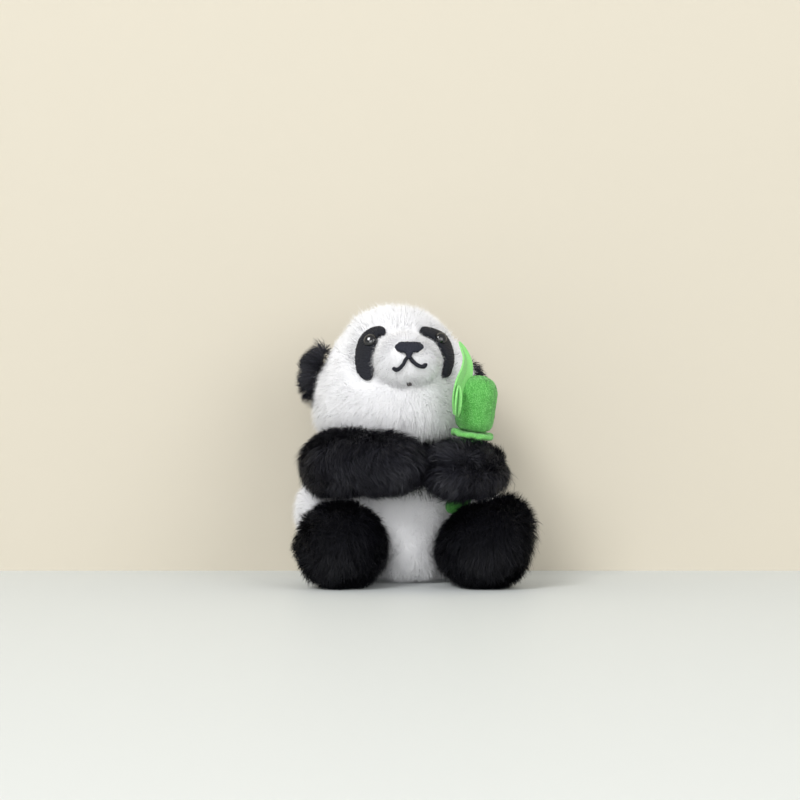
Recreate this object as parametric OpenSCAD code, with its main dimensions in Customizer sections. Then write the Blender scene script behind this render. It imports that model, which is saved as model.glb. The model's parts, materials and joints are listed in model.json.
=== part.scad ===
// Seated plush panda hugging a stuffed bamboo stick.
// X runs to the viewer's right, the panda faces -Y, Z is up and the floor is z = 0.
// "left" and "right" are the viewer's, looking at the panda's face.

/* [Torso] */
// Half width of the torso at its widest level
torso_r = 52; // [51:0.5:52.5]
// Depth of the torso as a share of its width
torso_flat = 0.82; // [0.8:0.01:0.84]
// Height of the torso's widest level
torso_wide_z = 26; // [24:1:28]
// Height of the neck seam, where the torso ends
neck_z = 75.7; // [75.5:0.1:75.9]
// Height of the seam between the white body and the black shoulder band
band_z = 48; // [46:1:50]

/* [Head] */
// Half width of the head
head_r = 41; // [40:0.5:41.5]
// Height of the head's widest level
head_wide_z = 92; // [91:0.5:93]
// Height from the widest level to the crown
head_up = 46.5; // [45:0.5:48]
// Turn of the face towards the viewer's right, in degrees
face_yaw = 9; // [6:1:11]

/* [Limbs] */
// Radius of the left arm at its elbow
left_elbow_r = 17; // [16.5:0.1:17]
// Radius of the right arm at its elbow
right_elbow_r = 14.2; // [14:0.1:14.2]
// Radius of a foot
foot_r = 22.2; // [22:0.1:22.2]
// Radius of a leg where it joins the body
hip_r = 13.5; // [13:0.5:14]

/* [Bamboo] */
// Radius of the bamboo's thick upper segment
bamboo_r = 10.2; // [10:0.1:10.3]
// Radius of the thin lower segment
stem_r = 6.3; // [6:0.1:6.4]
// Whole length of the bamboo
bamboo_len = 67.5; // [67:0.5:68]
// Length of the lower segment, up to the ring
stem_len = 36; // [35.5:0.5:36.5]

/* [Fabric] */
// Thickness of the white plush, with its pile
white_pile = 4; // [3:0.5:4.5]
// Thickness of the black plush, with its pile
black_pile = 4.5; // [3.5:0.5:5]
// Thickness of the short plush on the muzzle and the bamboo
short_pile = 1.6; // [1.4:0.1:2]

/* [Hidden] */
$fn = 64;
gap = 0.3;                 // air between neighbouring pieces
far = 200;                 // longer than anything here

// Torso
torso_at = [-6, 15.6];     // plan position of its axis
torso_up = 70;             // height of the oval above the widest level
torso_down = 30;           // height of the oval below it
tail_at = [-6, 56.6, 15];
tail_r = 9;
tail_seam_y = 58.5;        // plane on which the tail meets the back

// Head
head_at = [-10, 9.6];      // plan position of the head's turning axis
head_down = 20;            // height of the oval below the widest level
head_z = neck_z + gap;     // underside of the head

// Face, in the head's own frame: the face looks along -Y
muzzle_z = 110.5;
muzzle_y = -36;
muzzle_mid_r = 12.5;
muzzle_side_r = 11.5;
muzzle_side_x = 6.5;
eye_z = 121.5;
eye_x = 16.5;
eye_r = 3.4;
post_r = 1.2;
patch_x = 10.8;            // centre of an eye patch's outer curve
patch_z = 111.7;
patch_skin = 1.2;          // thickness of the embroidered patches
nose_z = 117.6;
mouth_z = 111;
stitch_w = 2;              // width of a mouth stroke

// Ears
ear_x = 32;                // from the middle of the face
ear_y = 3;
ear_z = 102.5;
ear_tilt = 3;              // how much one ear stands higher, and the other lower
ear_r = 14.5;
ear_half_t = 5;

// Limb paths: shoulder, elbow, paw; hip, foot
left_arm = [[-43, 1.6, 59.6], [-37, -30.4, 61.4], [-10.5, -46.4, 61.5]];
left_arm_r = [15, left_elbow_r, 15.5];
right_arm = [[34, -0.4, 57.8], [34, -32.4, 57.3], [20, -46.4, 58.6]];
right_arm_r = [13, right_elbow_r, 14.5];
left_leg = [[-29, -6.4, 16], [-36.4, -44.4, 21.3]];
right_leg = [[24, -6.4, 16], [35, -44.4, 21.3]];
leg_r = [hip_r, foot_r];
arm_swing = 45;            // how far an arm opens, in degrees
leg_swing = 20;            // how far a leg splays, in degrees
arm_bay_z = [41.6, 79];    // heights between which an arm swings
leg_bay_z = [-6, 42.2];    // heights between which a leg swings

// Bamboo: its foot, and its lean to the right and to the front
bamboo_foot = [23.06, -21.06, 38.06];
bamboo_lean = [6, 8.4];
ring_r = 11;
ring_h = 3;

// ---------------------------------------------------------------- profiles
// Radius at height z of an oval whose lower half is fuller than its upper half
function oval_radius(z, wide_z, r, up, down, power) =
    z > wide_z
        ? r * sqrt(max(0, 1 - pow((z - wide_z) / up, 2)))
        : r * pow(max(0, 1 - pow((wide_z - z) / down, power)), 1 / power);

// Half outline of an oval cut off at heights low and high
function oval_outline(low, high, wide_z, r, up, down, power, steps = 16) = [
    [0, low],
    for (i = [0:steps - 1])
        let (z = low + (high - low) * (1 - cos(180 * (i + 0.25) / steps)) / 2)
        [oval_radius(z, wide_z, r, up, down, power), i == 0 ? low : z],
    if (high < wide_z + up - 0.01) [oval_radius(high, wide_z, r, up, down, power), high],
    [0, high]
];

// Half outline of a round-ended rod that tapers from radius r1 to r2 over a length
function rod_outline(r1, r2, length, steps = 7) =
    let (slope = asin((r1 - r2) / length))
    concat(
        [for (i = [0:steps]) let (a = -90 + (90 + slope) * i / steps) [r1 * cos(a), r1 * sin(a)]],
        [for (i = [0:steps]) let (a = slope + (90 - slope) * i / steps)
            [r2 * cos(a), length + r2 * sin(a)]]
    );

function unit(v) = v / norm(v);
function plan(p) = [p.x, p.y];
// Normal of a plan direction, to its left (side 1) or its right (side -1)
function side_normal(d, side) = side * [-d.y, d.x];
function turned(d, a) = [d.x * cos(a) - d.y * sin(a), d.x * sin(a) + d.y * cos(a)];

// ---------------------------------------------------------------- basic forms
module rod(from, to, r1, r2) {
    d = to - from;
    translate(from)
        rotate([0, acos(d.z / norm(d)), atan2(d.y, d.x)])
            rotate_extrude() polygon(rod_outline(r1, r2, norm(d)));
}

// Whole torso, smaller by inset all round. At full size it runs below the floor, where
// body_cover cuts it flat.
module torso_form(inset = 0) {
    low = inset > 0 ? inset : -3;
    translate([torso_at.x, torso_at.y, 0])
        scale([1, torso_flat, 1])
            rotate_extrude()
                polygon(oval_outline(low, neck_z - inset, torso_wide_z, torso_r - inset,
                                     torso_up - inset, torso_down - inset, 3));
}

// Whole head, in the row frame
module head_form(grow = 0) {
    translate([head_at.x, head_at.y, 0])
        rotate_extrude()
            polygon(oval_outline(head_z - min(grow, 0), head_wide_z + head_up + grow, head_wide_z,
                                 head_r + grow, head_up + grow, head_down + grow, 3));
}

module face_frame() {
    translate([head_at.x, head_at.y, 0]) rotate([0, 0, face_yaw]) children();
}

module muzzle_form(grow = 0) {
    face_frame() translate([0, muzzle_y, muzzle_z]) {
        sphere(r = muzzle_mid_r + grow);
        for (s = [-1, 1]) translate([s * muzzle_side_x, 0.5, -0.5]) sphere(r = muzzle_side_r + grow);
    }
}

// Arm or leg along its path, smaller by inset
module limb_form(path, radii, inset = 0) {
    for (i = [0:len(path) - 2])
        rod(path[i], path[i + 1], radii[i] - inset, radii[i + 1] - inset);
}

module bamboo_frame() {
    translate(bamboo_foot) rotate([bamboo_lean.x, bamboo_lean.y, 0]) children();
}

// ---------------------------------------------------------------- room for moving pieces
// Space for a limb that swings outwards about a vertical axis at its first point: the limb's
// own shape, and on its outer side the prism that it sweeps. side is 1 where the torso lies to
// the left of the limb's path, and -1 on its right.
module swing_bay(path, radii, side, swing, heights, grow) {
    last = len(path) - 1;
    start = plan(path[0]);
    end = plan(path[last]);
    d1 = unit(plan(path[1]) - start);
    d2 = unit(end - plan(path[last - 1]));
    taper = max(0, asin((radii[1] - radii[0]) / norm(plan(path[1]) - start)));
    out = turned(d1, -side * (swing + taper));
    outer = start - side_normal(out, side) * (radii[0] + 1.5 * gap + grow);
    inner = unit(side_normal(d1, side) + side_normal(d2, side)) * 2;
    limb_form(path, radii, -gap - grow);
    translate([0, 0, heights[0] - grow])
        linear_extrude(heights[1] - heights[0] + 2 * grow)
            polygon([
                start + inner,
                plan(path[1]) + inner,
                end + inner + d2 * far / 4,
                start + unit(d2 + out) * far,
                outer + out * far / 2,
                outer
            ]);
}

module arm_bay(left, grow) {
    if (left) swing_bay(left_arm, left_arm_r, 1, arm_swing, arm_bay_z, grow);
    else swing_bay(right_arm, right_arm_r, -1, arm_swing, arm_bay_z, grow);
}

module leg_bay(left, grow) {
    if (left) swing_bay(left_leg, leg_r, 1, leg_swing, leg_bay_z, grow);
    else swing_bay(right_leg, leg_r, -1, leg_swing, leg_bay_z, grow);
}

// Channel that the bamboo's lower segment lies in
module stem_channel(grow) {
    bamboo_frame() translate([0, 0, -stem_r - grow])
        cylinder(r = stem_r + gap + grow, h = far);
}

// Inner side of the right arm, left out so that the arm holds the bamboo and opens away from it
module stem_notch(grow) {
    linear_extrude(far)
        polygon([
            [36 + grow, -16 + grow],
            [36 + grow, -33 - grow],
            [5, -33 - grow],
            [5, -8.4 + grow],
            [24, -12.6 + grow]
        ]);
}

// ---------------------------------------------------------------- torso
module torso_space(inset) {
    difference() {
        torso_form(inset);
        for (left = [true, false]) {
            arm_bay(left, inset);
            leg_bay(left, inset);
        }
        stem_channel(inset);
    }
}

module body_cover() {
    color("white") difference() {
        intersection() {
            torso_space(0);
            translate([-far / 2, -far / 2, 0]) cube([far, far, band_z]);
        }
        torso_space(white_pile);
    }
}

module shoulder_band() {
    color("#1c1d21") difference() {
        intersection() {
            torso_space(0);
            translate([-far / 2, -far / 2, band_z + gap / 2]) cube([far, far, far]);
        }
        torso_space(white_pile);
    }
}

module pellet_form(grow = 0) {
    translate([torso_at.x, torso_at.y + 8, 15]) sphere(r = 9 + grow);
}

module body_stuffing() {
    color("ivory") difference() {
        torso_space(white_pile + gap / 2);
        pellet_form(gap / 2);
    }
}

module pellet_bag() { color("tan") pellet_form(); }

module tail() {
    color("white") intersection() {
        translate(tail_at) sphere(r = tail_r);
        translate([-far / 2, tail_seam_y, 0]) cube([far, far, far]);
    }
}

// ---------------------------------------------------------------- head
// Frame on the head's surface at an eye, with +Z along the outward normal
module eye_frame(side) {
    r = oval_radius(eye_z, head_wide_z, head_r, head_up, head_down, 3);
    y = -sqrt(r * r - eye_x * eye_x);
    rise = atan2((eye_z - head_wide_z) / (head_up * head_up), r / (head_r * head_r));
    face_frame() translate([side * eye_x, y, eye_z])
        rotate([0, 90 - rise, atan2(y, side * eye_x)]) children();
}

module eye_posts(grow) {
    for (s = [-1, 1]) eye_frame(s) translate([0, 0, -12]) cylinder(r = post_r + grow, h = 16);
}

module head_cover() {
    color("white") difference() {
        head_form(0);
        head_form(-white_pile);
        eye_posts(0.1);
    }
}

module head_stuffing() {
    color("ivory") difference() {
        head_form(-white_pile - gap / 2);
        for (s = [-1, 1]) eye_frame(s) translate([0, 0, -10.2]) cylinder(r = 5.2, h = 12);
    }
}

module muzzle_cover() {
    color("whitesmoke") difference() {
        muzzle_form(0);
        muzzle_form(-short_pile);
        head_form(gap / 2);
    }
}

module muzzle_stuffing() {
    color("ivory") difference() {
        muzzle_form(-short_pile - gap / 2);
        head_form(gap / 2);
    }
}

// Layer of stitching that follows the muzzle inside an outline
module muzzle_stitching() {
    difference() {
        intersection() {
            muzzle_form(1.1);
            face_frame() translate([0, muzzle_y - 3, mouth_z]) rotate([90, 0, 0])
                linear_extrude(30) children();
        }
        muzzle_form(0.05);
    }
}

module nose_embroidery() {
    color("#44454f") muzzle_stitching()
        translate([0, nose_z - mouth_z]) {
            for (s = [-1, 1]) translate([s * 4.4, 0.3]) circle(r = 2.7);
            translate([-4.4, -2]) square([8.8, 5]);
            polygon([[-4.4, -1], [4.4, -1], [1, -4], [1, -6.5], [-1, -6.5], [-1, -4]]);
        }
}

// One curved stroke from under the nose out to the corner of the mouth
module mouth_stroke(side) {
    difference() {
        translate([side * 4.6, 0.8]) circle(r = 5.4);
        translate([side * 4.6, 0.8]) circle(r = 5.4 - stitch_w);
        translate([-10, 0.1]) square([20, 10]);
    }
}

module mouth_embroidery() {
    color("#2a2b33") muzzle_stitching() {
        mouth_stroke(-1);
        mouth_stroke(1);
    }
}

// Crescent outline round an eye, seen from the front of the face; side 1 is the right
module crescent(side) {
    difference() {
        translate([side * patch_x, patch_z + 1]) circle(r = 12.7);
        translate([-side * 2, patch_z]) circle(r = 17.9);
        translate([-far / 2, patch_z - far - 10.2]) square(far);
    }
}

module eye_patch(side) {
    color("#31333d") difference() {
        intersection() {
            head_form(patch_skin);
            face_frame() rotate([90, 0, 0]) linear_extrude(60) crescent(side);
        }
        head_form(0.05);
        muzzle_form(gap);
        eye_posts(0.1);
    }
}

module eye(side) {
    color("black") eye_frame(side) {
        difference() {
            translate([0, 0, patch_skin + 0.3]) sphere(r = eye_r);
            translate([-5, -5, patch_skin + 0.2 - 10]) cube(10);
        }
        translate([0, 0, -9.5]) cylinder(r = post_r, h = 12);
    }
}

module eye_washer(side) {
    color("gainsboro") eye_frame(side) translate([0, 0, -white_pile - 2])
        difference() {
            cylinder(r = 5, h = 1.4);
            translate([0, 0, -1]) cylinder(r = post_r + 0.1, h = 4);
        }
}

// Round ear standing on the side of the head
module ear(side) {
    color("#1c1d21") difference() {
        face_frame() translate([side * ear_x, ear_y, ear_z - side * ear_tilt])
            rotate([90, 0, side * 10]) ear_form();
        head_form(gap / 2);
    }
}

module ear_form() {
    rotate_extrude() polygon([for (i = [0:16]) let (a = -90 + 180 * i / 16)
        [ear_r * pow(cos(a), 0.8), ear_half_t * sin(a)]]);
}

// ---------------------------------------------------------------- limbs
module left_arm_space(inset) { limb_form(left_arm, left_arm_r, inset); }

module right_arm_space(inset) {
    difference() {
        limb_form(right_arm, right_arm_r, inset);
        stem_notch(inset);
    }
}

module leg_space(path, inset) {
    difference() {
        limb_form(path, leg_r, inset);
        translate([-far / 2, -far / 2, inset - far]) cube(far);
    }
}

module left_arm_cover() {
    color("#1c1d21") difference() {
        left_arm_space(0);
        left_arm_space(black_pile);
    }
}

module left_arm_stuffing() { color("ivory") left_arm_space(black_pile + gap / 2); }

module right_arm_cover() {
    color("#1c1d21") difference() {
        right_arm_space(0);
        right_arm_space(black_pile);
    }
}

module right_arm_stuffing() { color("ivory") right_arm_space(black_pile + gap / 2); }

module leg_cover(path) {
    color("#1c1d21") difference() {
        leg_space(path, 0);
        leg_space(path, black_pile);
    }
}

module leg_stuffing(path) { color("ivory") leg_space(path, black_pile + gap / 2); }

// ---------------------------------------------------------------- bamboo
// Half outline of a round bar from low to high, with its rims rounded by foot_round and top_round
function segment_outline(r, low, high, foot_round, top_round, steps = 6) = [
    [0, low],
    for (i = [0:steps]) let (a = -90 + 90 * i / steps)
        [r - foot_round * (1 - cos(a)), low + foot_round * (1 + sin(a))],
    for (i = [0:steps]) let (a = 90 * i / steps)
        [r - top_round * (1 - cos(a)), high - top_round * (1 - sin(a))],
    [0, high]
];

module segment(r, low, high, foot_round, top_round) {
    rotate_extrude() polygon(segment_outline(r, low, high, foot_round, top_round));
}

// Stuffed shapes of the bamboo's two segments, smaller by inset
module upper_form(inset) {
    segment(bamboo_r - inset, stem_len + ring_h + inset, bamboo_len - inset, 5 - inset, 9 - inset);
}

module stem_form(inset) {
    segment(stem_r - inset, inset, stem_len - inset, 3 - inset / 2, 2 - inset / 2);
}

module bamboo_upper_cover() {
    color("#6cbd63") bamboo_frame() difference() {
        upper_form(0);
        upper_form(short_pile);
    }
}

module bamboo_ring() {
    color("#8fd486") bamboo_frame() segment(ring_r, stem_len, stem_len + ring_h, 1.4, 1.4);
}

module bamboo_lower_cover() {
    color("#6cbd63") bamboo_frame() difference() {
        stem_form(0);
        stem_form(short_pile);
    }
}

module bamboo_stuffing() {
    color("ivory") bamboo_frame() {
        upper_form(short_pile + gap / 2);
        stem_form(short_pile + gap / 2);
    }
}

// Pointed leaf standing on its lower tip in the XZ plane
module leaf_blade(length, width, thickness) {
    r = (length * length / 4 + width * width / 4) / width;
    translate([0, thickness / 2, length / 2]) rotate([90, 0, 0]) linear_extrude(thickness)
        intersection() {
            translate([r - width / 2, 0]) circle(r = r);
            translate([width / 2 - r, 0]) circle(r = r);
        }
}

module leaf_long() {
    color("#91d985") difference() {
        translate([19.4, -34.8, 84]) rotate([-13, 8.5, 0])
            rotate([0, 0, -68]) leaf_blade(37, 11, 1.6);
        bamboo_frame() upper_form(-0.1);
    }
}

module leaf_short() {
    color("#91d985") translate([20.2, -41, 83])
        rotate([0, 0, 72]) leaf_blade(16, 7, 2);
}

body_cover();
shoulder_band();
body_stuffing();
pellet_bag();
tail();
head_cover();
head_stuffing();
muzzle_cover();
muzzle_stuffing();
nose_embroidery();
mouth_embroidery();
eye_patch(-1);  // left_eye_patch
eye_patch(1);  // right_eye_patch
eye(-1);  // left_eye
eye(1);  // right_eye
eye_washer(-1);  // left_eye_washer
eye_washer(1);  // right_eye_washer
ear(-1);  // left_ear
ear(1);  // right_ear
left_arm_cover();
left_arm_stuffing();
right_arm_cover();
right_arm_stuffing();
leg_cover(left_leg);  // left_leg_cover
leg_stuffing(left_leg);  // left_leg_stuffing
leg_cover(right_leg);  // right_leg_cover
leg_stuffing(right_leg);  // right_leg_stuffing
bamboo_upper_cover();
bamboo_ring();
bamboo_lower_cover();
bamboo_stuffing();
leaf_long();
leaf_short();
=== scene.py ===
"""Looks of the seated plush panda with its stuffed bamboo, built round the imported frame.

Each soft piece is a skin made from its CAD solid, plumped with a short cloth simulation, with
its pile grown on it as real ribbons of hair. Embroidery, eyes and leaves are modelled pieces.
Lengths named _mm or given to mm() are millimetres; everything in Blender is in metres. The
stitching, eyes and leaves are placed from the middles of their CAD nodes.
"""
import json
import math

import bmesh
import bpy
import numpy as np
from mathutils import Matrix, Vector
from mathutils.bvhtree import BVHTree

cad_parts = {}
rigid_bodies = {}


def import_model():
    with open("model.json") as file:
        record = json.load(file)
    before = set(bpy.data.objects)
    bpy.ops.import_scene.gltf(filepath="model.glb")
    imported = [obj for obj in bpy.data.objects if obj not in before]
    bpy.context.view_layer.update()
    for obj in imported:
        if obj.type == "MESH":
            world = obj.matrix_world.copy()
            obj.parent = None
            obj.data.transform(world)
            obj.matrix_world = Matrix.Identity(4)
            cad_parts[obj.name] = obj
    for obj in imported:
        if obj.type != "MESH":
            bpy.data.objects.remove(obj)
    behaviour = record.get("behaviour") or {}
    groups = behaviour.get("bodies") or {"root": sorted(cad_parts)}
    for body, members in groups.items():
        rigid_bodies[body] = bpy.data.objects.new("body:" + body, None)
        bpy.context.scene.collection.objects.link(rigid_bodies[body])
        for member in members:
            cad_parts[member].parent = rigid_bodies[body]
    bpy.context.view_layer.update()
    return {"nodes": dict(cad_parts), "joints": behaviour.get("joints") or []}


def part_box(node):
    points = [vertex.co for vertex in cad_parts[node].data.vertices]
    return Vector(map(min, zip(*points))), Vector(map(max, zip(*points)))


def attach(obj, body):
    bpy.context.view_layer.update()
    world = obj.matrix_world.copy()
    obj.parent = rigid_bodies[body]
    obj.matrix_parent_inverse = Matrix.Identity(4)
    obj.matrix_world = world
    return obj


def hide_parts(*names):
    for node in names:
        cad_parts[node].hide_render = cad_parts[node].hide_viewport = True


for stray in list(bpy.data.objects):
    bpy.data.objects.remove(stray)
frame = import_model()
scene = bpy.context.scene
MM = 0.001


def mm(*values):
    return Vector(values) * MM


def centre(node):
    lo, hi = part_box(node)
    return (lo + hi) / 2


def middle_mm(node):
    """The middle of a node's box, to a whole millimetre."""
    return [round(v / MM) for v in centre(node)]


def placed(node, rows):
    """Rows of (x, z, half width) given from the middle of their node, put in the frame."""
    x, _, z = middle_mm(node)
    return [(round(x + dx, 1), round(z + dz, 1), half) for dx, dz, half in rows]


def unit(v):
    return v / np.maximum(np.linalg.norm(v, axis=-1, keepdims=True), 1e-12)


def smooth_step(low, high, x):
    t = np.clip((x - low) / (high - low), 0, 1)
    return t * t * (3 - 2 * t)


# ------------------------------------------------------------------ materials
def principled(name, colour, rough, specular=0.3, sheen=0.0):
    mat = bpy.data.materials.new(name)
    mat.use_nodes = True
    shader = mat.node_tree.nodes["Principled BSDF"]
    shader.inputs["Base Color"].default_value = (*colour, 1)
    shader.inputs["Roughness"].default_value = rough
    shader.inputs["Specular IOR Level"].default_value = specular
    shader.inputs["Sheen Weight"].default_value = sheen
    shader.inputs["Sheen Roughness"].default_value = 0.5
    return mat, mat.node_tree.nodes, mat.node_tree.links, shader


def texture(nodes, links, kind, vector, **values):
    """A texture node that reads the vector, with its inputs set by name."""
    node = nodes.new(kind)
    for key, value in values.items():
        node.inputs[key].default_value = value
    links.new(vector, node.inputs["Vector"])
    return node


def cloth_map(nodes, links, scale):
    """The piece's own unrolled map, which is in millimetres, scaled."""
    uv = nodes.new("ShaderNodeUVMap")
    uv.uv_map = "cloth"
    size = nodes.new("ShaderNodeMapping")
    size.inputs["Scale"].default_value = scale
    links.new(uv.outputs["UV"], size.inputs["Vector"])
    return size.outputs["Vector"]


def coloured_by(nodes, links, value, shader, stops):
    """The shader's colour from a value, by stops of (position, colour), lowest first."""
    ramp = nodes.new("ShaderNodeValToRGB")
    elements = ramp.color_ramp.elements
    elements[0].position, elements[1].position = stops[0][0], stops[-1][0]
    for position, _ in stops[1:-1]:
        elements.new(position)
    for element, (_, colour) in zip(elements, stops):
        element.color = (*colour, 1)
    links.new(value, ramp.inputs["Fac"])
    links.new(ramp.outputs["Color"], shader.inputs["Base Color"])


def raised_by(nodes, links, height, shader, strength, distance_mm):
    relief = nodes.new("ShaderNodeBump")
    relief.inputs["Strength"].default_value = strength
    relief.inputs["Distance"].default_value = distance_mm * MM
    links.new(height, relief.inputs["Height"])
    links.new(relief.outputs["Normal"], shader.inputs["Normal"])


def strand_materials(name, shades, rough, specular, sheen, through=0.0):
    """Shades of one pile: a strand takes one of them, so the pile is never one flat colour.
    through sets a glow of the strand's own colour: painted light that stands in for the light which comes through
    white hair from its neighbours."""
    made = [principled(f"{name}_{i + 1}", c, rough, specular, sheen)[0] for i, c in enumerate(shades)]
    for mat, c in zip(made, shades):
        shader = mat.node_tree.nodes["Principled BSDF"]
        shader.inputs["Emission Color"].default_value = (*c, 1)
        shader.inputs["Emission Strength"].default_value = through
    return made


def fabric(name, colour, dark, thread_mm, bump):
    """Knitted backing: two crossing rows of threads, with blotches of a darker shade."""
    mat, nodes, links, shader = principled(name, colour, 0.9, 0.2, 0.2)
    place = nodes.new("ShaderNodeTexCoord").outputs["Object"]
    cross = nodes.new("ShaderNodeMath")
    cross.operation = "MAXIMUM"
    per_metre = 1 / (thread_mm * MM * 2 * math.pi)
    for i, axis in enumerate(("X", "Z")):
        wave = texture(nodes, links, "ShaderNodeTexWave", place, Scale=per_metre, Distortion=1.2)
        wave.bands_direction = axis
        links.new(wave.outputs["Fac"], cross.inputs[i])
    blotch = texture(nodes, links, "ShaderNodeTexNoise", place, Scale=220)
    mix = nodes.new("ShaderNodeMix")
    mix.data_type = "RGBA"
    mix.inputs["A"].default_value = (*dark, 1)
    mix.inputs["B"].default_value = (*colour, 1)
    links.new(blotch.outputs["Fac"], mix.inputs["Factor"])
    links.new(mix.outputs["Result"], shader.inputs["Base Color"])
    raised_by(nodes, links, cross.outputs[0], shader, bump, 0.2)
    return mat


def knit(name, colour, light, dark, across_mm, along_mm, bump):
    """Short loop knit, whose loops have that size round the piece and along it."""
    mat, nodes, links, shader = principled(name, colour, 0.85, 0.25, 0.25)
    place = cloth_map(nodes, links, (1 / across_mm, 1 / along_mm, 1))
    loops = texture(nodes, links, "ShaderNodeTexVoronoi", place, Scale=1, Randomness=0.45)
    nap = texture(nodes, links, "ShaderNodeTexNoise", place, Scale=2.2, Detail=4)
    height = nodes.new("ShaderNodeMath")
    height.operation = "MULTIPLY_ADD"
    height.inputs[1].default_value = -0.9
    links.new(loops.outputs["Distance"], height.inputs[0])
    links.new(nap.outputs["Fac"], height.inputs[2])
    # The yarn's colour follows the loops' height: dark is painted shade in the hollows between the loops, light a
    # painted highlight on their tops.
    coloured_by(nodes, links, height.outputs[0], shader, [(0, dark), (0.22, colour), (0.5, light)])
    raised_by(nodes, links, height.outputs[0], shader, bump, 0.25)
    return mat


def satin(name, colour, light, thread_mm):
    """Satin stitch: threads lie side by side across the stroke, each with its own slight shade."""
    mat, nodes, links, shader = principled(name, colour, 0.62, 0.2, 0.0)
    place = cloth_map(nodes, links, (0.35 / thread_mm, 1 / thread_mm, 1))
    shade = texture(nodes, links, "ShaderNodeTexNoise", place, Scale=1.3, Detail=3)
    coloured_by(nodes, links, shade.outputs["Fac"], shader, [(0.35, colour), (0.75, light)])
    thread = texture(nodes, links, "ShaderNodeTexWave", place, Scale=1 / (2 * math.pi), Distortion=0.8)
    thread.bands_direction = "Y"
    raised_by(nodes, links, thread.outputs["Fac"], shader, 0.9, 0.25)
    return mat


def plastic(name, colour, rough, grain, specular=0.5):
    """Moulded plastic, with a fine unevenness in its gloss."""
    mat, nodes, links, shader = principled(name, colour, rough, specular)
    place = nodes.new("ShaderNodeTexCoord").outputs["Object"]
    noise = texture(nodes, links, "ShaderNodeTexNoise", place, Scale=900)
    span = nodes.new("ShaderNodeMapRange")
    span.inputs["To Min"].default_value = rough
    span.inputs["To Max"].default_value = rough + grain
    links.new(noise.outputs["Fac"], span.inputs["Value"])
    links.new(span.outputs["Result"], shader.inputs["Roughness"])
    return mat


# ------------------------------------------------------------------ meshes
def link(name, mesh, *materials):
    obj = bpy.data.objects.new(name, mesh)
    scene.collection.objects.link(obj)
    for m in materials:
        mesh.materials.append(m)
    return obj


def settle(obj):
    """Makes the modifiers' result the object's own mesh."""
    made = bpy.data.meshes.new_from_object(obj.evaluated_get(bpy.context.evaluated_depsgraph_get()))
    obj.modifiers.clear()
    obj.data = made


def copy_of(name, *nodes):
    bm = bmesh.new()
    for n in nodes:
        bm.from_mesh(frame["nodes"][n].data)
    mesh = bpy.data.meshes.new(name)
    bm.to_mesh(mesh)
    bm.free()
    return link(name, mesh)


def remesh(obj, voxel_mm):
    m = obj.modifiers.new("voxels", "REMESH")
    m.mode, m.voxel_size, m.use_smooth_shade = "VOXEL", voxel_mm * MM, True
    settle(obj)


def relax(obj, turns, factor=0.5):
    m = obj.modifiers.new("relax", "SMOOTH")
    m.iterations, m.factor = turns, factor
    settle(obj)


def subdivide(obj, levels=1):
    m = obj.modifiers.new("round", "SUBSURF")
    m.levels = m.render_levels = levels
    settle(obj)


def points_of(mesh):
    co = np.empty(len(mesh.vertices) * 3, np.float32)
    mesh.vertices.foreach_get("co", co)
    return co.reshape(-1, 3).astype(float)


def normals_of(mesh):
    n = np.empty(len(mesh.vertices) * 3, np.float32)
    mesh.vertex_normals.foreach_get("vector", n)
    return n.reshape(-1, 3).astype(float)


def put_points(mesh, co):
    mesh.vertices.foreach_set("co", co.astype(np.float32).ravel())
    mesh.update()


def plump(obj, cap_mm):
    """Fills a closed skin with cloth pressure. No point moves further than the cap."""
    rest = points_of(obj.data)
    cloth = obj.modifiers.new("stuffing", "CLOTH")
    s = cloth.settings
    s.quality, s.mass, s.use_pressure, s.uniform_pressure_force = 4, 0.004, True, 4
    s.tension_stiffness = s.compression_stiffness = 4
    s.shear_stiffness, s.bending_stiffness = 2, 0.3
    s.effector_weights.gravity = 0
    cloth.point_cache.frame_start, cloth.point_cache.frame_end = 1, 20
    for f in range(1, 21):
        scene.frame_set(f)
    settle(obj)
    scene.frame_set(1)
    move = points_of(obj.data) - rest
    length = np.linalg.norm(move, axis=1, keepdims=True)
    cap = cap_mm * MM
    share = np.minimum(1, cap * np.tanh(length / cap) / np.maximum(length, 1e-9))
    put_points(obj.data, rest + move * share)


def inward(obj, depth_mm):
    put_points(obj.data, points_of(obj.data) - normals_of(obj.data) * depth_mm * MM)


def skin(name, nodes, body, material, voxel_mm=4, depth_mm=0.0, swell_mm=1.2, relaxed=3, extra=()):
    """A stuffed piece: a plumped closed skin in the place of its CAD solids, depth_mm inside
    their surface. extra are further nodes that it stands for."""
    obj = copy_of(name, *nodes)
    remesh(obj, voxel_mm)
    if depth_mm:
        relax(obj, 3)
        inward(obj, depth_mm)
    plump(obj, swell_mm)
    relax(obj, relaxed)
    subdivide(obj)
    obj.data.materials.clear()
    obj.data.materials.append(material)
    obj.data.shade_smooth()
    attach(obj, body)
    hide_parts(*nodes, *extra)
    return obj


def tree(obj):
    return BVHTree.FromPolygons(
        [v.co for v in obj.data.vertices], [tuple(p.vertices) for p in obj.data.polygons]
    )


# ------------------------------------------------------------------ pile
def drift(points, seed, length_mm, count=6):
    """Smooth vector noise with about that wavelength."""
    rng = np.random.default_rng(seed)
    out = np.zeros((len(points), 3))
    for _ in range(count):
        k = rng.normal(size=3)
        k *= 2 * math.pi * rng.uniform(0.6, 1.5) / (length_mm * MM * np.linalg.norm(k))
        out += np.sin(points @ k + rng.uniform(0, 2 * math.pi))[:, None] * rng.normal(size=3)
    return out / math.sqrt(count)


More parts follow.
